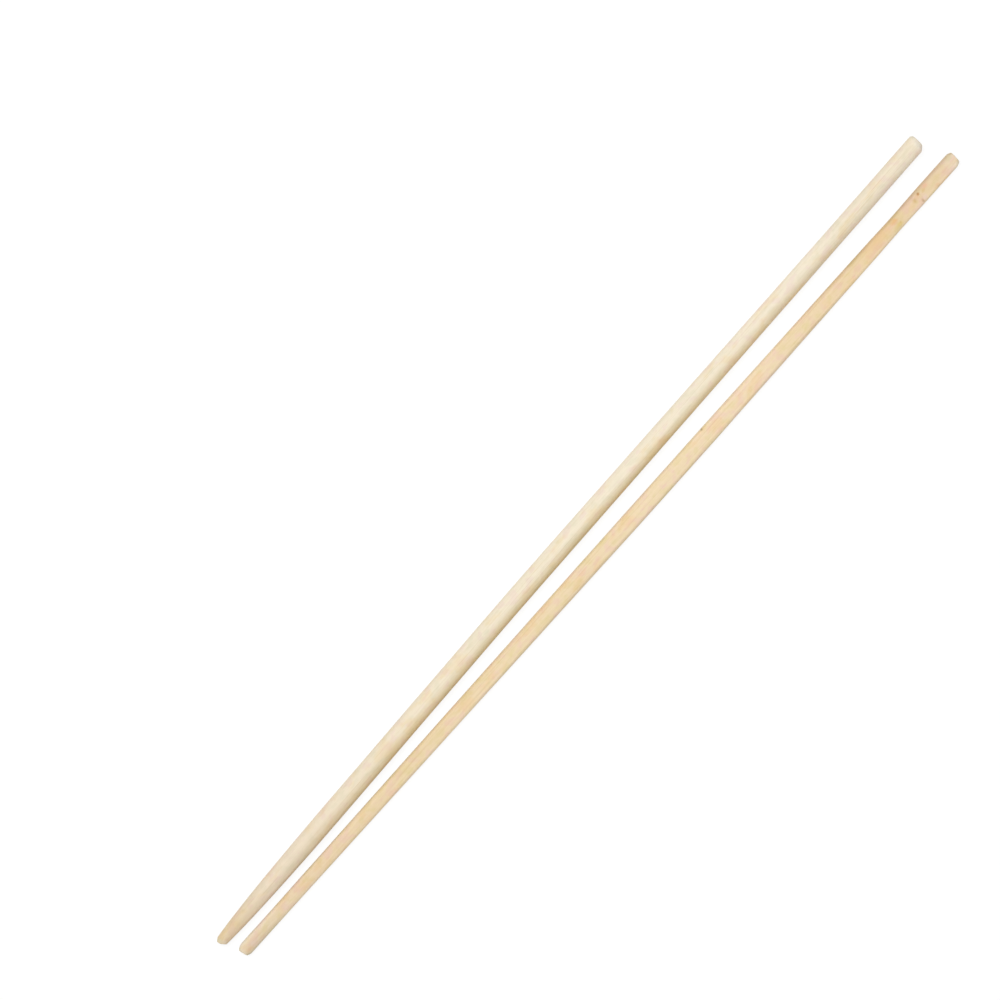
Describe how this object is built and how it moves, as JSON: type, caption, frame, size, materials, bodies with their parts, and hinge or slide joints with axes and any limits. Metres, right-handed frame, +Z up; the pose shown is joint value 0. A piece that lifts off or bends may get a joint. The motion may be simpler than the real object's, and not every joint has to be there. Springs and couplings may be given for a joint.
{
  "type": "bamboo chopsticks",
  "caption": "Disposable bamboo chopsticks lying side by side: slim straight eating sticks with blunt tips and square-cut handle ends, for picking up food.",
  "frame": {"origin": "on the surface that the sticks lie on, under the middle of the pair's bounding box", "axes": "+Y along the sticks from the eating tips to the handle ends, +X towards the right stick, +Z up"},
  "size_m": [0.012, 0.2322, 0.0046],
  "materials": {
    "pale_bamboo": "smooth turned bamboo, uncoated, pale cream with fine lengthwise fibres",
    "tan_bamboo": "smooth turned bamboo, uncoated, light tan with the outer skin and a node on top"
  },
  "bodies": {
    "root": {"left_chopstick": "pale_bamboo", "right_chopstick": "tan_bamboo"}
  },
  "joints": []
}
